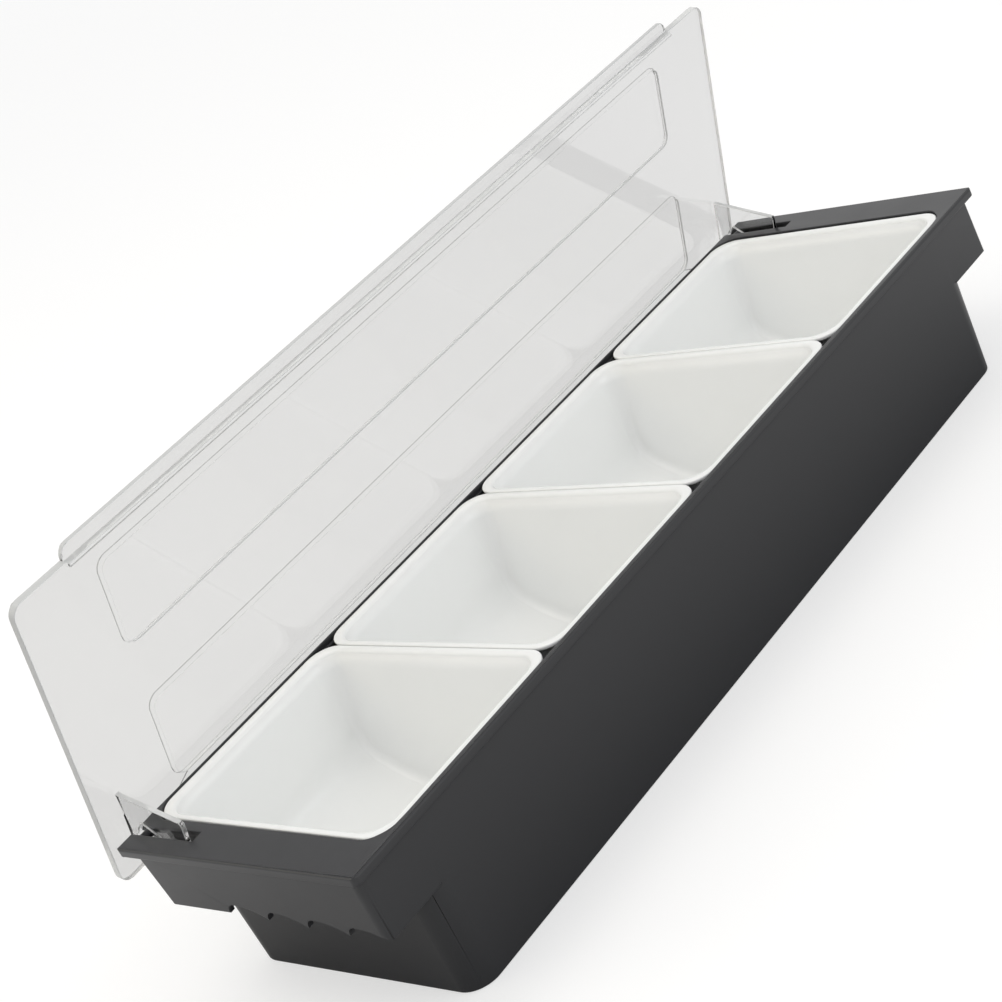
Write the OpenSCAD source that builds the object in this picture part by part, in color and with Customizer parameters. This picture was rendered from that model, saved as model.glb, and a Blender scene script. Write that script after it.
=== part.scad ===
/* [Tray] */
// Length of the tray over both end flanges, in millimetres
tray_length = 490; // [470:1:560]
// Height from the table to the top of the rim
tray_height = 82; // [80:1:110]
// Front to back across the tray at the rim, without the front lip
tray_depth = 139.7; // [134:0.1:170]
// Wall and floor thickness of the tray
wall = 3; // [2.4:0.1:3.6]
// How far each long wall leans in from rim to floor
wall_lean = 3.25; // [1.5:0.25:5]
// Radius of the upright corners of the tray body
body_corner = 12; // [8:1:16]

/* [End flanges] */
// Width of each end flange, from the insert opening to the outer edge
flange_width = 20.7; // [20:0.1:30]
// Thickness of the flange plate
flange_plate = 3; // [2.4:0.1:4]
// Height of the lip round the front and the ends of the rim
lip_height = 4; // [3:0.5:6]
// How far the lip stands out past the wall or skirt below it
lip_overhang = 2.6; // [1.5:0.1:4]
// Depth of the end skirts at the front, below the rim
skirt_depth = 33.5; // [28:0.5:40]
// Thickness of the end skirts
skirt_wall = 2.8; // [2:0.1:3.5]
// Distance from one finger scallop to the next
scallop_pitch = 22.8; // [18:0.2:26]

/* [Inserts] */
// Gap between an insert's foot and the floor of the tray
insert_foot_gap = 11.5; // [2:0.5:20]
// Wall of an insert
insert_wall = 2.2; // [1.6:0.1:3]
// Thickness of an insert's rim
insert_rim = 2; // [1.5:0.1:2.5]
// Gap between an insert's rim and the tray opening, all round
insert_clearance = 0.3; // [0.2:0.05:0.6]
// Gap between the rims of two inserts
insert_gap = 0.6; // [0.3:0.1:1.5]

/* [Lid] */
// Thickness of the lid
lid_wall = 3.5; // [2.5:0.1:4]
// Gap between the closed lid and the rim
lid_gap = 2; // [1:0.1:3]
// How far the lid stands open as drawn, in degrees from closed
lid_opening = 72; // [40:1:100]
// Depth of the two raised panels in the lid
panel_step = 0.8; // [0.4:0.1:1.2]

/* [Hinge] */
// Diameter of the hinge pins
pin_diameter = 4; // [3:0.1:4.4]
// Radial clearance of a pin in the lid's ear
pin_clearance = 0.05; // [0.02:0.01:0.1]
// Thickness of each ear of the lid
ear_wall = 2.2; // [1.6:0.1:3]
// Side clearance between an ear and the parts next to it
ear_clearance = 0.2; // [0.1:0.05:0.3]
// Diameter of the stop bars that cross the flange slots
bar_diameter = 4; // [3:0.5:4]

/* [Hidden] */
$fn = 64;

// Half sizes of the tray; the long side runs along X and the front faces -Y
half_l = tray_length / 2;
half_d = tray_depth / 2;
rim_z = tray_height;
front_y = -half_d - lip_overhang;
back_y = half_d + 0.9;
rim_plan_corner = 3;
lip_width = 3.6;
lip_round = 1.2;

// Outer body below the flanges; its ends widen into a collar under each flange
body_x = half_l - flange_width - 4.1;
collar_x = half_l - 17;
collar_low = rim_z - 10;
collar_foot = rim_z - 32;
body_x_low = body_x - 0.8;
body_y_low = half_d - wall_lean;

// Opening that the rims of the inserts sit in
rim_drop = 0.5;
open_x = half_l - flange_width;
open_y = half_d - 1.35;
ledge_z = rim_z - rim_drop - insert_rim;

// Inserts
insert_pitch = (2 * open_x - 2 * insert_clearance + insert_gap) / 4;
rim_half_x = (insert_pitch - insert_gap) / 2;
rim_half_y = open_y - insert_clearance;
rim_corner = 11.4;
insert_foot = wall + insert_foot_gap;
bowl_x = rim_half_x - 2.7;
bowl_y = min(rim_half_y - 3.2, half_d - wall - 1);
bowl_corner = 12;
end_lean = 9.5;

// The floor of an insert is one wide curve, with a smaller round up to each long wall;
// the smaller round stands out by round_step, so that the two curves cross cleanly
floor_round = 108;
side_round = 18;
round_step = 0.05;
floor_z = insert_foot + floor_round;
side_y = bowl_y - 0.55 * wall_lean - side_round;
side_z = floor_z - sqrt(pow(floor_round - side_round, 2) - pow(side_y, 2));

// Hinge line, which is parallel to X
hinge_y = half_d - 7.45;
hinge_drop = 13.03;
hinge_z = rim_z - hinge_drop;
pin_r = pin_diameter / 2;
boss_r = pin_r + 4;

// Slot in each end flange, open at the back, which the ear of the lid turns in
slot_in = collar_x + 2.4;
slot_out = half_l - 9.4;
slot_front = half_d - 39.65;

// Bar across each slot above the hinge line; the notch of the ear stops on it
bar_y = hinge_y + 1.8;
bar_z = rim_z - 2.6;

// Ear of the lid, beside the ring on the hinge cheek
cheek_x = collar_x;
ring_x = cheek_x + 2.7;
ear_x = ring_x + ear_clearance;
head_x = ear_x + ear_wall + ear_clearance;
head_h = 2;
pin_depth = 9;
pin_foot = cheek_x - pin_depth;
cheek_front = hinge_y - boss_r - 2.5;
cheek_low = hinge_z - boss_r - 2;

// Lid, closed; its underside is lid_z
lid_z = rim_z + lid_gap;
lid_back = half_d + 5.65;
lid_front = front_y + 1.35;
tab_reach = 6;
tab_half = half_l - 30;
tab_wall = 2;
sweep_r = hinge_drop + lid_gap - 0.35;

// Skirt
skirt_x = half_l - lip_overhang;
skirt_rear = half_d - 7.05;
skirt_low_rear = skirt_rear - 4.8;
skirt_low_z = rim_z - skirt_depth + 3.3;
scallop_start = half_d - 47.85;
scallop_rise = 4.4;
scallop_fall = (skirt_depth - (rim_z - skirt_low_z)) / (scallop_start + half_d);
scallop_run = scallop_pitch - scallop_rise;
scallop_drop = scallop_rise + scallop_fall * scallop_pitch;
scallop_r = (pow(scallop_run, 2) + pow(scallop_drop, 2)) / (2 * scallop_drop);
skirt_corner = 5.5;
skirt_inside_corner = skirt_corner - skirt_wall;

// Rounded rectangle about the origin, given by its half sizes
module plate(hx, hy, r) {
  square([2 * hx - 2 * r, 2 * hy], center = true);
  square([2 * hx, 2 * hy - 2 * r], center = true);
  for (sx = [-1, 1], sy = [-1, 1]) {
    translate([sx * (hx - r), sy * (hy - r)]) circle(r = r);
  }
}

// Rounded rectangle between two Y values
module plate_y(hx, y0, y1, r) {
  translate([0, (y0 + y1) / 2]) plate(hx, (y1 - y0) / 2, r);
}

// Stands a profile drawn in Y and Z on the plane x0, and gives it thickness
module along_x(x0, t) {
  translate([x0, 0, 0]) rotate([90, 0, 90]) linear_extrude(t) children();
}

// Round bar along X on the hinge line
module on_hinge(x0, x1, r) {
  translate([x0, hinge_y, hinge_z]) rotate([0, 90, 0]) cylinder(h = x1 - x0, r = r);
}

// Repeats the right-hand end at the left-hand end
module both_ends() {
  children();
  mirror([1, 0, 0]) children();
}

// Leaning outer shape of the body
module body_outer() {
  hull() {
    linear_extrude(0.01) plate(body_x_low, body_y_low, body_corner);
    translate([0, 0, rim_z - 0.01]) linear_extrude(0.01) plate(body_x, half_d, body_corner);
  }
}

// Hollow of the body, open at the top
module body_hollow() {
  hull() {
    translate([0, 0, wall]) linear_extrude(0.01)
      plate(body_x_low - wall, body_y_low - wall, body_corner - wall);
    translate([0, 0, rim_z + 1]) linear_extrude(0.01)
      plate(body_x - wall, half_d - wall, body_corner - wall);
  }
}

// Widened top of the body's ends, d inside its outer face
module collar(d, top) {
  intersection() {
    translate([0, 0, collar_foot]) linear_extrude(top - collar_foot)
      plate(collar_x - d, half_d - d, body_corner + 1 - d);
    rotate([90, 0, 0]) linear_extrude(400, center = true)
      polygon([[d - body_x, collar_foot], [d - collar_x, collar_low], [d - collar_x, top],
               [collar_x - d, top], [collar_x - d, collar_low], [body_x - d, collar_foot]]);
    along_x(-half_l, 2 * half_l)
      polygon([[d - half_d, rim_z + 2], [d - half_d, rim_z], [d - body_y_low, 0],
               [body_y_low - d, 0], [half_d - d, rim_z], [half_d - d, rim_z + 2]]);
  }
}

// Plan of the whole rim; the lip runs round its front and its ends
module rim_plan() {
  difference() {
    plate_y(half_l, front_y, back_y, rim_plan_corner);
    translate([0, half_d + 20]) square([2 * body_x, 40], center = true);
  }
}

module lip_plan() {
  difference() {
    rim_plan();
    translate([-half_l + lip_width, front_y + lip_width])
      square([2 * (half_l - lip_width), 3 * half_d]);
  }
}

// Skirt seen from the end: it leans at the back and has four scallops below
module skirt_profile() {
  difference() {
    polygon([[front_y, rim_z - 1], [skirt_rear, rim_z - 1], [skirt_low_rear, skirt_low_z],
             [scallop_start, skirt_low_z], [-half_d, rim_z - skirt_depth],
             [front_y, rim_z - skirt_depth]]);
    for (i = [0:3]) scallop(scallop_start - i * scallop_pitch);
  }
}

// One scallop: it rises steeply in front of the tip at y, then falls in a wide curve to the next
module scallop(y) {
  z = skirt_low_z - scallop_fall * (scallop_start - y);
  translate([y - scallop_rise, z]) circle(r = scallop_rise);
  intersection() {
    translate([y - scallop_rise, z + scallop_rise + round_step - scallop_r]) circle(r = scallop_r);
    translate([y - scallop_pitch, z - scallop_pitch]) square([scallop_run, 2 * scallop_pitch]);
  }
}

// Plane of the front wall, so that the skirt's return lies flush with the body
module behind_front() {
  along_x(-half_l, 2 * half_l)
    polygon([[-half_d, rim_z], [-body_y_low, 0], [half_d + 20, 0], [half_d + 20, rim_z]]);
}

// Skirt of the right-hand end, with the return along the front
module skirt() {
  intersection() {
    behind_front();
    along_x(body_x - 20, skirt_x - body_x + 20) skirt_profile();
    linear_extrude(rim_z) difference() {
      plate_y(skirt_x, -half_d, skirt_rear + 20, skirt_corner);
      plate_y(skirt_x - skirt_wall, -half_d + 4, skirt_rear + 30, skirt_inside_corner);
      translate([-half_l, -half_d - 1]) square([half_l + body_x - 9, 3 * half_d]);
    }
  }
}

// Block beside the body that carries a hinge pin, with a ring that the ear runs against
module cheek() {
  translate([pin_foot - 3, cheek_front, cheek_low])
    cube([cheek_x - pin_foot + 3, half_d - cheek_front, rim_z - flange_plate + 0.5 - cheek_low]);
  on_hinge(cheek_x - 1, ring_x, boss_r);
}

// Right-hand end flange: plate, skirt and cheek
module end_flange() {
  intersection() {
    translate([0, 0, rim_z - flange_plate]) linear_extrude(flange_plate) rim_plan();
    translate([body_x - 8, -150, 0]) cube([200, 300, 200]);
  }
  skirt();
  cheek();
}

// The rim behind the hinge line is rounded about it, so that the lid turns past
module rear_trim() {
  difference() {
    translate([-half_l - 5, hinge_y, hinge_z]) cube([2 * half_l + 10, 60, 60]);
    on_hinge(-half_l - 6, half_l + 6, sweep_r);
  }
}

// Rounds the outer top edge of the front lip and of the end lips
module edge_round(r) {
  difference() {
    translate([-half_l - 1, front_y - 1, rim_z - r]) cube([2 * half_l + 2, r + 1, r + 1]);
    translate([-half_l - 2, front_y + r, rim_z - r]) rotate([0, 90, 0])
      cylinder(h = 2 * half_l + 4, r = r);
  }
  both_ends() difference() {
    translate([half_l - r, front_y - 1, rim_z - r]) cube([r + 1, 2 * half_d + 20, r + 1]);
    translate([half_l - r, front_y - 2, rim_z - r]) rotate([-90, 0, 0])
      cylinder(h = 2 * half_d + 30, r = r);
  }
}

// Bar across the slot of the right-hand flange
module stop_bar() {
  translate([cheek_x - 1, bar_y, bar_z]) rotate([0, 90, 0])
    cylinder(h = slot_out - cheek_x + 2, r = bar_diameter / 2);
}

module tray() {
  color("DimGray") both_ends() stop_bar();
  color("DimGray") difference() {
    union() {
      body_outer();
      collar(0, rim_z);
      translate([0, 0, rim_z - lip_height]) linear_extrude(lip_height) lip_plan();
      both_ends() end_flange();
    }
    body_hollow();
    collar(wall, rim_z + 1);
    translate([0, 0, ledge_z]) linear_extrude(20)
      plate(open_x, open_y, rim_corner + insert_clearance);
    both_ends() {
      translate([slot_in, slot_front, rim_z - lip_height - 1])
        cube([slot_out - slot_in, half_d, 2 * lip_height]);
      on_hinge(pin_foot, cheek_x + 5, pin_r + 0.01);
    }
    rear_trim();
    edge_round(lip_round);
  }
}

// Section of an insert from front to back, drawn d inside its outer face
module bowl_section(d, top) {
  reach = (floor_round - d) / (floor_round - side_round);
  touch_y = side_y * reach;
  touch_z = floor_z - (floor_z - side_z) * reach;
  side_x = side_y + side_round - d;
  intersection() {
    translate([0, floor_z]) circle(r = floor_round - d);
    polygon([[-touch_y, insert_foot - 1], [touch_y, insert_foot - 1], [touch_y, touch_z + 1],
             [-touch_y, touch_z + 1]]);
  }
  for (s = [-1, 1]) translate([s * side_y, side_z]) circle(r = side_round + round_step - d);
  polygon([[d - bowl_y, top], [-side_x, side_z], [-touch_y, touch_z], [touch_y, touch_z],
           [side_x, side_z], [bowl_y - d, top]]);
}

// Block with a leaning right-hand end, d inside the outer face of an insert's tub
module leaning_end(d) {
  reach = 2 * bowl_x;
  translate([bowl_x, 0, ledge_z]) rotate([0, end_lean, 0]) translate([-d - reach, 0, -2 * rim_z])
    linear_extrude(3 * rim_z) plate(reach, bowl_y - d + round_step, bowl_corner - d);
}

// Tub of an insert: a trough from front to back between two leaning ends
module bowl(d, top) {
  intersection() {
    leaning_end(d);
    mirror([1, 0, 0]) leaning_end(d);
    along_x(-2 * bowl_x, 4 * bowl_x) bowl_section(d, top);
  }
}

// One insert pan; its rim hangs on the ledge of the tray
module insert(i) {
  top = ledge_z + insert_rim;
  translate([(i - 2.5) * insert_pitch, 0, 0]) difference() {
    union() {
      translate([0, 0, ledge_z]) linear_extrude(insert_rim)
        plate(rim_half_x, rim_half_y, rim_corner);
      bowl(0, top - 0.5);
    }
    bowl(insert_wall, top + 1);
  }
}

module insert_1() {
  color("White") insert(1);
}

module insert_2() {
  color("White") insert(2);
}

module insert_3() {
  color("White") insert(3);
}

module insert_4() {
  color("White") insert(4);
}

// Ear that hangs through the slot when the lid is closed: a front leg, a notch that
// clears the stop bar, a strip along the lid behind it, and a boss on the hinge line
module ear_profile() {
  y = hinge_y;
  z = hinge_z;
  difference() {
    union() {
      polygon([[y - 27.9, lid_z + 1], [y - 27.9, lid_z], [y - 26.1, z - 17.5], [y - 24.2, z - 19.5],
               [y - 6.3, z - 19.5], [y + 0.86 * boss_r, z - 0.51 * boss_r], [y, z + 2],
               [y - 5.3, z - 2], [y - 10.9, z - 3], [y - 15.4, z + 6], [y - 8.9, z + 9.3],
               [y - 7.9, z + 10.3], [y - 4.9, z + 12], [y - 2.4, z + 12.8], [y - 1.2, z + 13],
               [y - 0.9, lid_z + 1]]);
      translate([y - 24.1, z - 17.5]) circle(r = 2);
      translate([y, z]) circle(r = boss_r);
    }
    translate([y, z]) circle(r = pin_r + pin_clearance);
  }
}

// Plate of the lid with two raised panels, finger tab and front rib, closed
module lid_plate() {
  linear_extrude(lid_wall) plate_y(half_l, lid_front, lid_back, 6);
}

module panels(z, t, d) {
  span = lid_back - lid_front;
  for (y = [lid_front + 0.0737 * span, lid_front + 0.561 * span]) {
    translate([0, 0, z]) linear_extrude(t)
      plate_y(half_l - 43 - d, y + d, y + 0.297 * span - d, 6 - d);
  }
}

module lid_closed() {
  difference() {
    union() {
      translate([0, 0, lid_z]) lid_plate();
      panels(lid_z + lid_wall - 1, 1 + panel_step, 0);
      translate([0, 0, lid_z + lid_wall - tab_wall]) linear_extrude(tab_wall)
        plate_y(tab_half, lid_front - tab_reach, lid_front + 8, 5);
      translate([-tab_half, lid_front, lid_z - lid_gap + 0.1]) cube([2 * tab_half, 2, lid_gap]);
      both_ends() along_x(ear_x, ear_wall) ear_profile();
    }
    panels(lid_z - 1, 1 + panel_step, 1);
  }
}

module lid() {
  color("LightCyan", 0.4) translate([0, hinge_y, hinge_z]) rotate([-lid_opening, 0, 0])
    translate([0, -hinge_y, -hinge_z]) lid_closed();
}

// Headed pin, pushed into the cheek from outside through the ear
module hinge_pin() {
  on_hinge(pin_foot, head_x + 0.5, pin_r);
  on_hinge(head_x, head_x + head_h - 0.6, pin_r + 2);
  translate([head_x + head_h - 0.6, hinge_y, hinge_z]) rotate([0, 90, 0])
    cylinder(h = 0.6, r1 = pin_r + 2, r2 = pin_r + 1.4);
}

module hinge_pin_left() {
  color("Silver") mirror([1, 0, 0]) hinge_pin();
}

module hinge_pin_right() {
  color("Silver") hinge_pin();
}

tray();
insert_1();
insert_2();
insert_3();
insert_4();
lid();
hinge_pin_left();
hinge_pin_right();
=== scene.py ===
# %% [markdown]
# # A condiment caddy with four lift-out pans and a clear hinged lid
# A long black tray stands on the bar. Four white pans hang in it by their rims, and one clear
# lid swings over them on hooked ears that pass through a slot in each end flange.
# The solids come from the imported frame, which fixes every size and every joint. Blender gives
# them what a solid modeller leaves out: softened edges, moulded pans and real finishes.

# %% Load the frame
import math

import bmesh
import bpy
import numpy as np
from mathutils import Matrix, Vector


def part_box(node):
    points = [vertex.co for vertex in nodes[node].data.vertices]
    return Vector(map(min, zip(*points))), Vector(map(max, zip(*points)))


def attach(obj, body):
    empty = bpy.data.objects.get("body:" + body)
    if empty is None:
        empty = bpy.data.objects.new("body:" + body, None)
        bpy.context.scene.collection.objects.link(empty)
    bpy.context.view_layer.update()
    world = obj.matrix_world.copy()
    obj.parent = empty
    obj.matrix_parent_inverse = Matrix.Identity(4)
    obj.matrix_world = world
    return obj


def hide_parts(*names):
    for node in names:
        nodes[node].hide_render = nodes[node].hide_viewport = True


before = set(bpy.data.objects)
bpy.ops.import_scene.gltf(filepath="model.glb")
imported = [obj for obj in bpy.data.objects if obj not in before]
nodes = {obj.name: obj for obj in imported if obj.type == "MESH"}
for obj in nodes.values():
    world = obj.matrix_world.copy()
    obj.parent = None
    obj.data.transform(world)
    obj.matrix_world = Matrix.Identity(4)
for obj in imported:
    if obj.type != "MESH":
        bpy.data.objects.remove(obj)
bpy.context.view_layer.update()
MM = 0.001
print("CAD nodes:", ", ".join(sorted(nodes)))

# %% [markdown]
# ## Meshes from numpy
# Every new piece is a grid of points, worked out at once as an array, and handed to Blender
# with from_pydata. One helper turns a closed tube of rings into a mesh and caps its two ends,
# so a piece only has to say where its rings are.


# %% Turn rings of points into a closed mesh
SAME_POINT = 1e-6


def mesh_from_rings(name, rings):
    """Joins rings[v, u] to rings[v + 1, u] with quads, and closes the first and last ring.

    rings has the shape (stations, points on a ring, 3); u runs anticlockwise seen from above
    where the stations climb, so that the faces point outwards.
    """
    stations, around, _ = rings.shape
    v, u = np.meshgrid(np.arange(stations - 1), np.arange(around), indexing="ij")
    after = (u + 1) % around
    quads = np.stack([v * around + u, v * around + after,
                      (v + 1) * around + after, (v + 1) * around + u], axis=-1)
    first = np.arange(around)[::-1].tolist()
    last = (np.arange(around) + (stations - 1) * around).tolist()
    mesh = bpy.data.meshes.new(name)
    mesh.from_pydata(rings.reshape(-1, 3).tolist(), [],
                     quads.reshape(-1, 4).tolist() + [first, last])
    work = bmesh.new()
    work.from_mesh(mesh)
    bmesh.ops.remove_doubles(work, verts=work.verts, dist=SAME_POINT)
    work.to_mesh(mesh)
    work.free()
    mesh.shade_smooth()
    piece = bpy.data.objects.new(name, mesh)
    bpy.context.collection.objects.link(piece)
    return piece


def even_shading(piece):
    """Lets large flat faces keep their own normal beside small rounded ones."""
    modifier = piece.modifiers.new("even_shading", "WEIGHTED_NORMAL")
    modifier.weight = 100
    modifier.keep_sharp = True


# %% [markdown]
# ## The pans
# Each pan is one moulding: a trough with a wide flat rim that hangs on the tray's ledge. From
# front to back its floor is one wide curve that turns up into the long walls, so a spoon
# reaches everything. Its two ends are flat and lean in, so it releases from its mould.
# The section is drawn once, from under the floor, up the outside, over the rim and down the
# inside. The upright corners are wide at the rim and sharpen into a small fillet that runs
# along the foot of each end, which a plain bevel could not do. The wall thins towards the
# rim, whose mouth rolls down into the trough.

# %% Read the pan's place and size from the frame
low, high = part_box("insert_1")
RIM_X, RIM_Y = (high.x - low.x) / 2, (high.y - low.y) / 2
RIM_TOP, FOOT = high.z, low.z
RIM_THICK = 2.0 * MM
LEDGE = RIM_TOP - RIM_THICK
RIM_CORNER = 11.4 * MM
WALL, WALL_TOP = 2.2 * MM, 1.0 * MM
RIM_REACH_X, RIM_REACH_Y = 2.7 * MM, 3.2 * MM
TUB_X, TUB_Y = RIM_X - RIM_REACH_X, RIM_Y - RIM_REACH_Y
TUB_CORNER = 12.0 * MM
FOOT_CORNER = 5.5 * MM
WALL_SPREAD = 1.79 * MM
END_LEAN = math.tan(math.radians(9.5))
FLOOR_R, SIDE_R = 108.0 * MM, 18.0 * MM
FLOOR_Z = FOOT + FLOOR_R
SIDE_Y = TUB_Y - WALL_SPREAD - SIDE_R
SIDE_Z = FLOOR_Z - math.sqrt((FLOOR_R - SIDE_R) ** 2 - SIDE_Y ** 2)
WALL_LEAN = WALL_SPREAD / (RIM_TOP - SIDE_Z)
print("pan rim:", round(RIM_X * 2, 4), "x", round(RIM_Y * 2, 4), "top at", round(RIM_TOP, 4))


# %% How deep and how wide the trough is
def trough_half_width(z, inset):
    """Half width of the trough at height z, drawn inset inside its outer face.

    The floor is the circle y^2 + (z - FLOOR_Z)^2 = (FLOOR_R - inset)^2. A circle of radius
    SIDE_R - inset touches it from inside and carries it up into a wall that leans outwards.
    """
    touch = FLOOR_Z - (FLOOR_Z - SIDE_Z) * (FLOOR_R - inset) / (FLOOR_R - SIDE_R)
    floor_y = np.sqrt(np.maximum((FLOOR_R - inset) ** 2 - (FLOOR_Z - z) ** 2, 0))
    side_y = SIDE_Y + np.sqrt(np.maximum((SIDE_R - inset) ** 2 - (SIDE_Z - z) ** 2, 0))
    wall_y = SIDE_Y + SIDE_R - inset + WALL_LEAN * (z - SIDE_Z)
    return np.where(z < touch, floor_y, np.where(z < SIDE_Z, side_y, wall_y))


FLOOR_START = 0.012
FLOOR_STEPS, SIDE_STEPS, WALL_STEPS = 26, 12, 7


def trough_heights(inset):
    """Heights up one side of the trough, close together where its floor is nearly level.

    Equal steps of the angle round a circle give them, from FLOOR_START radians off its lowest
    point, where the two sides of the trough would otherwise meet.
    """
    turn = math.asin(SIDE_Y / (FLOOR_R - SIDE_R))
    floor = FLOOR_Z - (FLOOR_R - inset) * np.cos(np.linspace(FLOOR_START, turn, FLOOR_STEPS))
    side = SIDE_Z - (SIDE_R - inset) * np.cos(np.linspace(turn, math.pi / 2, SIDE_STEPS)[1:])
    wall = np.linspace(SIDE_Z, LEDGE, WALL_STEPS)[1:]
    return np.concatenate([floor, side, wall])


# %% Rings of the trough
CORNER_STEPS = 12
CORNER_THINNING = 0.8


def trough_rings(wall, wall_top):
    """Rings of the trough, x and y, one for each of its heights, inset by a wall that may thin.

    A ball of radius r rolls in the corner between the trough and its end. Where the ball has
    turned through the angle a, the fillet lies r (1 - cos a) inside the end, and
    r (1 - sin a) inside the trough. Near the floor the ball starts at an angle whose fillet
    just reaches the middle, so that the ring closes there. Inside a wall the ball is
    smaller by CORNER_THINNING times the inset.
    """
    z = trough_heights(wall)[:, None]
    inset = np.interp(z, [SIDE_Z, LEDGE], [wall, wall_top])
    r = np.interp(z, [SIDE_Z, LEDGE], [FOOT_CORNER, TUB_CORNER]) - CORNER_THINNING * inset
    depth = FLOOR_R - inset - (FLOOR_Z - z)
    start = np.arcsin(np.clip(1 - depth / r, 0, 1))
    a = start + (math.pi / 2 - start) * np.linspace(0, 1, CORNER_STEPS + 1)
    x = TUB_X - inset - END_LEAN * (LEDGE - z) - r * (1 - np.cos(a))
    y = trough_half_width(z, inset + r * (1 - np.sin(a)))
    back = slice(None, None, -1)
    x = np.concatenate([x, -x[:, back], -x, x[:, back]], axis=1)
    y = np.concatenate([y, y[:, back], -y, -y[:, back]], axis=1)
    return np.stack([x, y, np.broadcast_to(z, x.shape)], axis=-1)


# %% Rings of the rim
RIM_SOFT = 0.7 * MM
EDGE_STEPS, ROLL_STEPS = 8, 5


def arc_angles(start, end, steps):
    """Angles from start to end in degrees, as an array of radians."""
    return np.radians(np.linspace(start, end, steps + 1))


def rim_rings(half_x, half_y, radius, z):
    """Rings of a rectangle with round corners, one for each station.

    A corner's centre stands in from the sides by the radius, and its arc is centre plus
    radius times (cos a, sin a), a running through that corner's own quarter turn.
    """
    quarter = np.arange(4)[:, None]
    angle = ((quarter + np.linspace(0, 1, CORNER_STEPS + 1)) * math.pi / 2).ravel()
    middle = np.repeat((quarter.ravel() + 0.5) * math.pi / 2, CORNER_STEPS + 1)
    half_x, half_y, radius, z = (np.asarray(a)[:, None] for a in (half_x, half_y, radius, z))
    x = np.sign(np.cos(middle)) * (half_x - radius) + radius * np.cos(angle)
    y = np.sign(np.sin(middle)) * (half_y - radius) + radius * np.sin(angle)
    return np.stack([x, y, np.broadcast_to(z, x.shape)], axis=-1)


def rim_section():
    """Rounds the rim's edge, and rolls its mouth down into the trough.

    The edge is two quarter circles of radius RIM_SOFT. The mouth is a quarter circle whose
    radius is the rim's thickness, so that it ends level with the ledge.
    """
    turn = arc_angles(-90, 90, EDGE_STEPS)
    out = -RIM_SOFT + RIM_SOFT * np.cos(turn)
    middle = np.where(turn < 0, LEDGE + RIM_SOFT, RIM_TOP - RIM_SOFT)
    edge = rim_rings(RIM_X + out, RIM_Y + out, RIM_CORNER + out,
                     middle + RIM_SOFT * np.sin(turn))
    roll = arc_angles(90, 180, ROLL_STEPS)
    out = -WALL_TOP + RIM_THICK + RIM_THICK * np.cos(roll)
    mouth = rim_rings(TUB_X + out, TUB_Y + out, TUB_CORNER + out,
                      RIM_TOP - RIM_THICK + RIM_THICK * np.sin(roll))
    return np.concatenate([edge, mouth])


pan_rings = np.concatenate([trough_rings(0, 0), rim_section(),
                            trough_rings(WALL, WALL_TOP)[::-1]])
print("a pan has", len(pan_rings), "rings of", pan_rings.shape[1], "points")


# %% Mould the four pans
def make_pan(number):
    """The rings of a pan, moved to its own place in the row."""
    node = f"insert_{number}"
    low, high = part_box(node)
    pan = mesh_from_rings(f"pan_{number}", pan_rings + [(low.x + high.x) / 2, 0, 0])
    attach(pan, node)
    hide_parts(node)
    return pan


pans = [make_pan(number) for number in (1, 2, 3, 4)]
print("pans:", [pan.name for pan in pans], "with", len(pans[0].data.polygons), "faces each")

# %% [markdown]
# ## Softened edges on the tray and the lid
# A moulded part has no knife edges: each corner carries a small radius, and that radius is
# what catches a bright line from the lights. The solids have their true shape but sharp
# edges, so each is copied, its loose triangles are joined, and a bevel modifier rounds the
# edges that stand out. Two sharp edges that run together in a narrow wedge leave no room for
# a radius, and neither do the fine edges of the finger scallops and the rim's rear corners.
# Those stay sharp, and are marked so that the smooth shading does not smear across them. The
# copy then replaces the solid.


# %% Choose the edges that are rounded
SHARP = math.radians(32)
MERGE = 0.06 * MM
WEDGE = math.cos(math.radians(30))
SCALLOPS = ((239, -73, 45), (246, 0, 57))
REAR_CORNERS = ((242, 68, 80), (246, 72, 83))


def too_fine(edge):
    """True in the finger scallops and at the rim's rear corners, boxes given in mm for |x|."""
    for low, high in (SCALLOPS, REAR_CORNERS):
        if all(low[0] < abs(x) < high[0] and low[1] < y < high[1] and low[2] < z < high[2]
               for x, y, z in (vert.co / MM for vert in edge.verts)):
            return True
    return False


def mark_edges(work):
    """Weights the edges to round, and marks the other sharp ones to be shaded as sharp.

    An edge is rounded where it stands out and turns by more than SHARP, unless it runs into
    another sharp edge at less than the angle of WEDGE.
    """
    weight = work.edges.layers.float.new("bevel_weight_edge")
    sharp = {edge for edge in work.edges
             if len(edge.link_faces) == 2 and edge.calc_face_angle(0) > SHARP}
    chosen = {edge for edge in sharp if edge.calc_face_angle_signed(0) > 0}
    chosen = {edge for edge in chosen if not too_fine(edge)}
    for vert in work.verts:
        meeting = [edge for edge in vert.link_edges if edge in sharp]
        ways = [(edge.other_vert(vert).co - vert.co).normalized() for edge in meeting]
        for i, way in enumerate(ways):
            if any(way.dot(other) > WEDGE for other in ways[:i] + ways[i + 1:]):
                chosen.discard(meeting[i])
    for edge in chosen:
        edge[weight] = 1.0
    for edge in sharp - chosen:
        edge.smooth = False


# %% Copy a solid and round its edges
BEVEL_STEPS = 2


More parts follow.
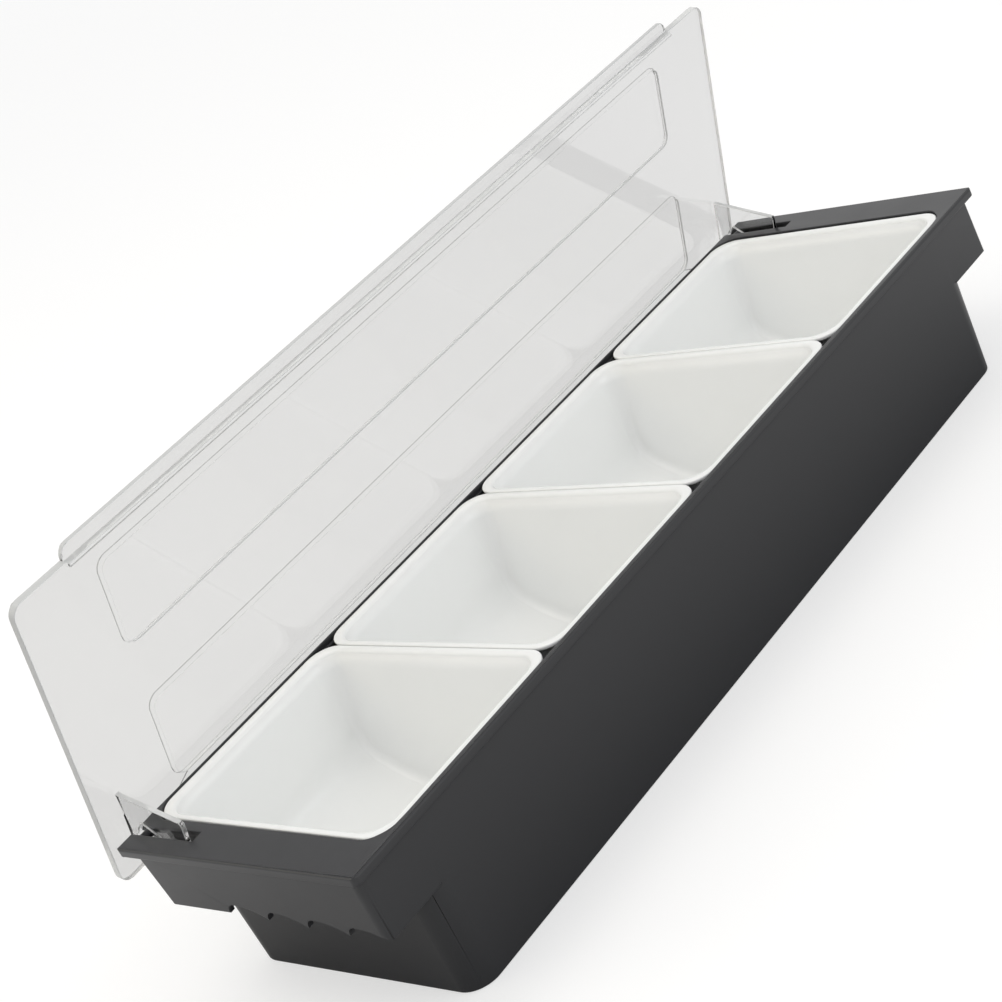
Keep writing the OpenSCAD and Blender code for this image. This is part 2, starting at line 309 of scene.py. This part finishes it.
def moulded_copy(node, name, radius, finish_slot=-1):
    """A merged copy of a CAD solid, with its outer edges rounded to a radius in metres.

    The rounded edges take the finish in finish_slot, or their neighbours' where it is -1.
    """
    work = bmesh.new()
    work.from_mesh(nodes[node].data)
    bmesh.ops.remove_doubles(work, verts=work.verts, dist=MERGE)
    for face in work.faces:
        face.smooth = True
    mark_edges(work)
    mesh = bpy.data.meshes.new(name)
    work.to_mesh(mesh)
    work.free()
    piece = bpy.data.objects.new(name, mesh)
    bpy.context.collection.objects.link(piece)
    bevel = piece.modifiers.new("soft_edges", "BEVEL")
    bevel.width = radius
    bevel.segments = BEVEL_STEPS
    bevel.limit_method = "WEIGHT"
    bevel.use_clamp_overlap = False
    bevel.material = finish_slot
    even_shading(piece)
    return piece


tray = moulded_copy("tray", "tray_moulding", 0.45 * MM)
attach(tray, "base")
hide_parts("tray")
# Slot 1 of the lid holds its painted edge light, which the rounded edges take.
lid = moulded_copy("lid", "lid_moulding", 0.35 * MM, finish_slot=1)
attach(lid, "lid")
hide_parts("lid")
print("merged faces:", {piece.name: len(piece.data.polygons) for piece in (tray, lid)})

# %% [markdown]
# ## The hinge pins
# Two short steel pins carry the lid. A headed pin is a turned part, so it is made the way a
# lathe makes it: a profile of radius against length, carried round its own axis. The head
# gets a shallow dome, which the straight-sided solid leaves out.


# %% Turn the pins
PIN_HEAD, PIN_CHAMFER, PIN_DOME = 2.0 * MM, 0.4 * MM, 1.0 * MM
PIN_SIDES, DOME_STEPS = 48, 8


def make_pin(side, sign):
    """Radius as a function of the length along the pin, carried round the hinge line.

    The dome is a quarter of an ellipse: length PIN_DOME cos a, radius head_r sin a.
    """
    node = f"hinge_pin_{side}"
    low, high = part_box(node)
    centre_y, centre_z = (low.y + high.y) / 2, (low.z + high.z) / 2
    head_r, shaft_r = (high.z - low.z) / 2, (high.z - low.z) / 4
    neck = high.x - low.x - PIN_HEAD
    dome = arc_angles(90, 6, DOME_STEPS)
    along = np.concatenate([[0, PIN_CHAMFER, neck, neck],
                            neck + PIN_DOME + PIN_DOME * np.cos(dome)])
    radius = np.concatenate([[shaft_r - PIN_CHAMFER, shaft_r, shaft_r, head_r],
                             head_r * np.sin(dome)])
    turn = np.linspace(0, 2 * math.pi, PIN_SIDES, endpoint=False) * sign
    x = (low.x if sign > 0 else high.x) + sign * along
    rings = np.stack(np.broadcast_arrays(x[:, None], centre_y + radius[:, None] * np.cos(turn),
                                         centre_z + radius[:, None] * np.sin(turn)), axis=-1)
    pin = mesh_from_rings(f"pin_{side}", rings)
    even_shading(pin)
    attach(pin, "base")
    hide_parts(node)
    return pin


pins = [make_pin("left", -1), make_pin("right", 1)]
print("pins:", [pin.name for pin in pins])

# %% [markdown]
# ## Finishes
# All finishes are built from nodes, so they need no image files and look right at any size.
# Patterns read Object coordinates, which are metres on the part, and so a noise scale is a
# number of features per metre.


# %% A helper that starts a finish
def new_finish(name):
    """A material with one Principled shader; returns the material, its nodes and shader."""
    material = bpy.data.materials.new(name)
    material.use_nodes = True
    tree = material.node_tree
    return material, tree, tree.nodes["Principled BSDF"]


def noise(tree, scale, detail, stretch=(1, 1, 1)):
    """Noise on Object coordinates, stretched along the axes; returns its value socket."""
    place = tree.nodes.new("ShaderNodeTexCoord")
    mapping = tree.nodes.new("ShaderNodeMapping")
    mapping.inputs["Scale"].default_value = stretch
    texture = tree.nodes.new("ShaderNodeTexNoise")
    texture.inputs["Scale"].default_value = scale
    texture.inputs["Detail"].default_value = detail
    tree.links.new(place.outputs["Object"], mapping.inputs["Vector"])
    tree.links.new(mapping.outputs["Vector"], texture.inputs["Vector"])
    return texture.outputs["Fac"]


NOISE_LOW, NOISE_HIGH = 0.3, 0.7


def vary_roughness(tree, shader, pattern, low, high):
    """Moves the roughness between low and high with a pattern of noise."""
    spread = tree.nodes.new("ShaderNodeMapRange")
    spread.inputs["From Min"].default_value = NOISE_LOW
    spread.inputs["From Max"].default_value = NOISE_HIGH
    spread.inputs["To Min"].default_value = low
    spread.inputs["To Max"].default_value = high
    tree.links.new(pattern, spread.inputs["Value"])
    tree.links.new(spread.outputs["Result"], shader.inputs["Roughness"])


def add_bump(tree, shader, pattern, height, strength):
    """Raises the surface by a pattern, height metres from its lowest to its highest."""
    bump = tree.nodes.new("ShaderNodeBump")
    bump.inputs["Strength"].default_value = strength
    bump.inputs["Distance"].default_value = height
    tree.links.new(pattern, bump.inputs["Height"])
    tree.links.new(bump.outputs["Normal"], shader.inputs["Normal"])


def paint(pieces, material):
    """Puts one finish on whole pieces."""
    for piece in pieces:
        piece.data.materials.clear()
        piece.data.materials.append(material)


# %% [markdown]
# ### Satin black plastic
# The tray is moulded in a hard black plastic with a satin face. Its colour is never quite
# black, and its gloss wanders a little where the melt cooled at different speeds.

# %% Satin black plastic for the tray
tray_plastic, tree, shader = new_finish("satin_black_plastic")
shader.inputs["Base Color"].default_value = (0.027, 0.0275, 0.030, 1)
shader.inputs["IOR"].default_value = 1.4
vary_roughness(tree, shader, noise(tree, 40, 3), 0.28, 0.34)
paint([tray], tray_plastic)
print("finish:", tray_plastic.name)

# %% [markdown]
# ### Glossy white plastic
# The pans are food-grade white with a high gloss. This white returns about nine tenths of
# the light, never all of it, which keeps its shading visible under bright lamps.

# %% Glossy white plastic for the pans
pan_plastic, tree, shader = new_finish("gloss_white_plastic")
shader.inputs["Base Color"].default_value = (0.892, 0.901, 0.897, 1)
shader.inputs["IOR"].default_value = 1.49
vary_roughness(tree, shader, noise(tree, 60, 2), 0.2, 0.26)
add_bump(tree, shader, noise(tree, 250, 1), 0.00003, 0.1)
paint(pans, pan_plastic)
print("finish:", pan_plastic.name)

# %% [markdown]
# ### Clear plastic
# The lid is clear, so it needs a shader that lets light through and bends it, with a little
# grey of its own. Path tracing gives such a wall a solid dark shadow, because lamps are too
# small to be found by rays that bend. So for rays that test for shadow the surface is simply
# see-through, as a thin clear sheet nearly is.

# %% Clear plastic for the lid
lid_plastic, tree, shader = new_finish("clear_plastic")
shader.inputs["Base Color"].default_value = (0.735, 0.735, 0.735, 1)
shader.inputs["Transmission Weight"].default_value = 1.0
shader.inputs["IOR"].default_value = 1.4
vary_roughness(tree, shader, noise(tree, 30, 2), 0.01, 0.03)
path = tree.nodes.new("ShaderNodeLightPath")
mix = tree.nodes.new("ShaderNodeMixShader")
faint = tree.nodes.new("ShaderNodeBsdfTransparent")
faint.inputs["Color"].default_value = (0.95, 0.95, 0.95, 1)
tree.links.new(path.outputs["Is Shadow Ray"], mix.inputs["Fac"])
tree.links.new(shader.outputs["BSDF"], mix.inputs[1])
tree.links.new(faint.outputs["BSDF"], mix.inputs[2])
tree.links.new(mix.outputs["Shader"], tree.nodes["Material Output"].inputs["Surface"])
paint([lid], lid_plastic)
print("finish:", lid_plastic.name)

# %% [markdown]
# ### Painted edge light on the clear plastic
# Light that enters a clear sheet travels along inside it and comes out at the edges, so they
# look brighter than the faces. That light is painted here: the rounded edges and the narrow
# faces of the lid get a finish that is about a third clear and the rest white, a painted
# highlight. A narrow face stands square to the plate. So do the flat sides of the ears, but
# they face along the hinge line between the panels and the plate's ends, and so they are told
# apart and stay clear.

# %% Painted edge light for the lid: a milky white on its edges
# Painted highlight: a mostly white finish on the lid's edges stands in for the light that leaves
# them.
lid_edge_light, tree, shader = new_finish("clear_plastic_painted_edge_light")
shader.inputs["Base Color"].default_value = (0.88, 0.89, 0.89, 1)
shader.inputs["Transmission Weight"].default_value = 0.35
shader.inputs["IOR"].default_value = 1.3
vary_roughness(tree, shader, noise(tree, 60, 2), 0.15, 0.25)
lid.data.materials.append(lid_edge_light)

OPENING = math.radians(72)
PANEL_END = 215 * MM
END_BAND = 7 * MM
TURNED = 0.5
face_count = len(lid.data.polygons)
normals, centres = np.empty(face_count * 3), np.empty(face_count * 3)
lid.data.polygons.foreach_get("normal", normals)
lid.data.polygons.foreach_get("center", centres)
normals, centres = normals.reshape(-1, 3), centres.reshape(-1, 3)
plate_way = np.array([0, math.sin(OPENING), math.cos(OPENING)])
square_to_plate = np.abs(normals @ plate_way) < TURNED
on_end = np.abs(centres[:, 0]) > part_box("lid")[1].x - END_BAND
on_panel = np.abs(centres[:, 0]) < PANEL_END
along_hinge = np.abs(normals[:, 0]) > TURNED
# These faces get the painted edge light.
painted_edge_light_faces = square_to_plate & (~along_hinge | on_end | on_panel)
lid.data.polygons.foreach_set("material_index", painted_edge_light_faces.astype(np.int32))
print("finish:", lid_edge_light.name, "on", int(painted_edge_light_faces.sum()), "faces")

# %% [markdown]
# ### Brushed steel
# The pins are turned steel. Fine rings left by the tool run round the axis, so the noise is
# squeezed along the pin's length and left long round it.

# %% Brushed steel for the pins
pin_steel, tree, shader = new_finish("turned_steel")
shader.inputs["Base Color"].default_value = (0.58, 0.57, 0.55, 1)
shader.inputs["Metallic"].default_value = 1.0
vary_roughness(tree, shader, noise(tree, 120, 2, (40, 1, 1)), 0.25, 0.42)
paint(pins, pin_steel)
print("finish:", pin_steel.name)

# %% [markdown]
# ## The studio
# A pale floor, an even sky and three soft lamps light the caddy: a broad one above, one in
# front, and a small warm one behind on the left. Rays that leave the camera, that pass
# through the clear lid, or that gloss sends up to the sky see a plain white, and the light
# that falls on the caddy is set apart from that and stays moderate. The floor that gloss
# mirrors has a glow of its own, which fades out close to the caddy: a painted shadow in
# its reflections, standing in for the shade that the caddy casts on a real floor.


# %% Sums for the lights
def maths(tree, kind, *terms, vector=False):
    """The result of a maths node, whose terms are sockets or plain numbers."""
    node = tree.nodes.new("ShaderNodeVectorMath" if vector else "ShaderNodeMath")
    node.operation = kind
    for socket, term in zip(node.inputs, terms):
        if isinstance(term, bpy.types.NodeSocket):
            tree.links.new(term, socket)
        else:
            socket.default_value = term
    return node.outputs["Value" if kind == "LENGTH" else 0]


# %% World
WORLD_LIGHT = 0.77
world = bpy.data.worlds.new("studio")
bpy.context.scene.world = world
world.use_nodes = True
tree = world.node_tree
lit = tree.nodes["Background"]
lit.inputs["Color"].default_value = (1, 1, 1, 1)
lit.inputs["Strength"].default_value = WORLD_LIGHT
white = tree.nodes.new("ShaderNodeBackground")
white.inputs["Color"].default_value = (1, 1, 1, 1)
white.inputs["Strength"].default_value = 1.0
mix = tree.nodes.new("ShaderNodeMixShader")
path = tree.nodes.new("ShaderNodeLightPath").outputs
seen = maths(tree, "MAXIMUM", path["Is Camera Ray"], path["Is Transmission Ray"])
seen = maths(tree, "MAXIMUM", seen, path["Is Glossy Ray"])
tree.links.new(seen, mix.inputs["Fac"])
tree.links.new(lit.outputs[0], mix.inputs[1])
tree.links.new(white.outputs[0], mix.inputs[2])
tree.links.new(mix.outputs[0], tree.nodes["World Output"].inputs["Surface"])
print("world light:", WORLD_LIGHT)

# %% Floor
FLOOR_HALF = 4.0
FLOOR_DROP = 0.0002
square = np.array([[-1, -1], [1, -1], [1, 1], [-1, 1]]) * FLOOR_HALF
mesh = bpy.data.meshes.new("floor")
mesh.from_pydata(np.column_stack([square, np.full(4, -FLOOR_DROP)]).tolist(), [], [(0, 1, 2, 3)])
floor = bpy.data.objects.new("floor", mesh)
bpy.context.collection.objects.link(floor)
print("floor:", FLOOR_HALF * 2, "m square")

# %% White of the floor
FLOOR_WHITE = 0.5
floor_white, tree, shader = new_finish("floor_white")
shader.inputs["Base Color"].default_value = (FLOOR_WHITE, FLOOR_WHITE, FLOOR_WHITE, 1)
shader.inputs["Roughness"].default_value = 0.9
floor.data.materials.append(floor_white)
print("finish:", floor_white.name)

# %% Distance from the caddy's foot, for the mirrored glow and its painted shadow near the caddy
GLOW_MIRRORED = 0.65
GLOW_REACH = 0.20
FOOTPRINT = (0.225, 0.055, 0.01)
where = tree.nodes.new("ShaderNodeTexCoord").outputs["Object"]
outside = maths(tree, "ABSOLUTE", where, vector=True)
outside = maths(tree, "SUBTRACT", outside, FOOTPRINT, vector=True)
outside = maths(tree, "MAXIMUM", outside, (0, 0, 0), vector=True)
# The mirrored glow rises from nothing at the caddy's foot: a painted shadow in what gloss
# mirrors.
glow_with_painted_shade = tree.nodes.new("ShaderNodeMapRange")
glow_with_painted_shade.interpolation_type = "SMOOTHSTEP"
glow_with_painted_shade.inputs["From Max"].default_value = GLOW_REACH
glow_with_painted_shade.inputs["To Max"].default_value = GLOW_MIRRORED
tree.links.new(maths(tree, "LENGTH", outside, vector=True), glow_with_painted_shade.inputs["Value"])
print("mirrored glow: 0 to", GLOW_MIRRORED, "over", GLOW_REACH, "m")

# %% Glow of the floor
GLOW_SEEN = 0.52
path = tree.nodes.new("ShaderNodeLightPath").outputs
seen = maths(tree, "MAXIMUM", path["Is Camera Ray"], path["Is Transmission Ray"])
mirrored = maths(tree, "SUBTRACT", path["Is Glossy Ray"], path["Is Transmission Ray"])
mirrored = maths(tree, "MAXIMUM", mirrored, 0.0)
glow = tree.nodes.new("ShaderNodeEmission")
add = tree.nodes.new("ShaderNodeAddShader")
strength = maths(tree, "ADD", maths(tree, "MULTIPLY", seen, GLOW_SEEN),
                 maths(tree, "MULTIPLY", mirrored, glow_with_painted_shade.outputs["Result"]))
tree.links.new(strength, glow.inputs["Strength"])
tree.links.new(shader.outputs["BSDF"], add.inputs[0])
tree.links.new(glow.outputs["Emission"], add.inputs[1])
tree.links.new(add.outputs["Shader"], tree.nodes["Material Output"].inputs["Surface"])
print("glow seen by the camera:", GLOW_SEEN)


# %% Lamps
AIM = (0, 0, 0.05)


def area_lamp(name, place, size, power, colour):
    """A square area lamp at a place in metres, turned to face AIM."""
    data = bpy.data.lights.new(name, "AREA")
    data.shape = "SQUARE"
    data.size = size
    data.energy = power
    data.color = colour
    lamp = bpy.data.objects.new(name, data)
    bpy.context.collection.objects.link(lamp)
    way = np.subtract(AIM, place)
    across = math.hypot(way[0], way[1])
    lamp.location = place
    lamp.rotation_euler = (math.atan2(across, -way[2]), 0,
                           math.atan2(way[1], way[0]) - math.pi / 2)


area_lamp("broad_lamp", (-0.35, 0.3, 1.6), 0.8, 4.8, (1.0, 0.95, 0.86))
area_lamp("front_lamp", (0.2, -1.3, 0.9), 0.9, 3.8, (0.97, 0.99, 1.0))
area_lamp("warm_lamp", (-0.9, 0.9, 0.9), 0.6, 1.5, (1.0, 0.90, 0.66))
bpy.context.scene.view_settings.view_transform = "Standard"


# %% [markdown]
# ## The camera
# The view looks down on the left-hand end of the caddy, so that the long row of pans runs
# away to the upper right. A long lens set well back keeps the perspective gentle, and the
# camera is rolled so that the row fills the frame from corner to corner.

# %% Camera
camera_data = bpy.data.cameras.new("camera")
camera_data.sensor_width = 36.0
camera_data.lens = 82.96
camera_data.shift_x = -0.0021
camera_data.shift_y = 0.0186
camera = bpy.data.objects.new("camera", camera_data)
camera.location = (-0.6170, -0.6873, 0.4877)
camera.rotation_euler = [math.radians(a) for a in (63.791, 25.231, -51.495)]
bpy.context.collection.objects.link(camera)
bpy.context.scene.camera = camera
print("camera at", tuple(camera.location))
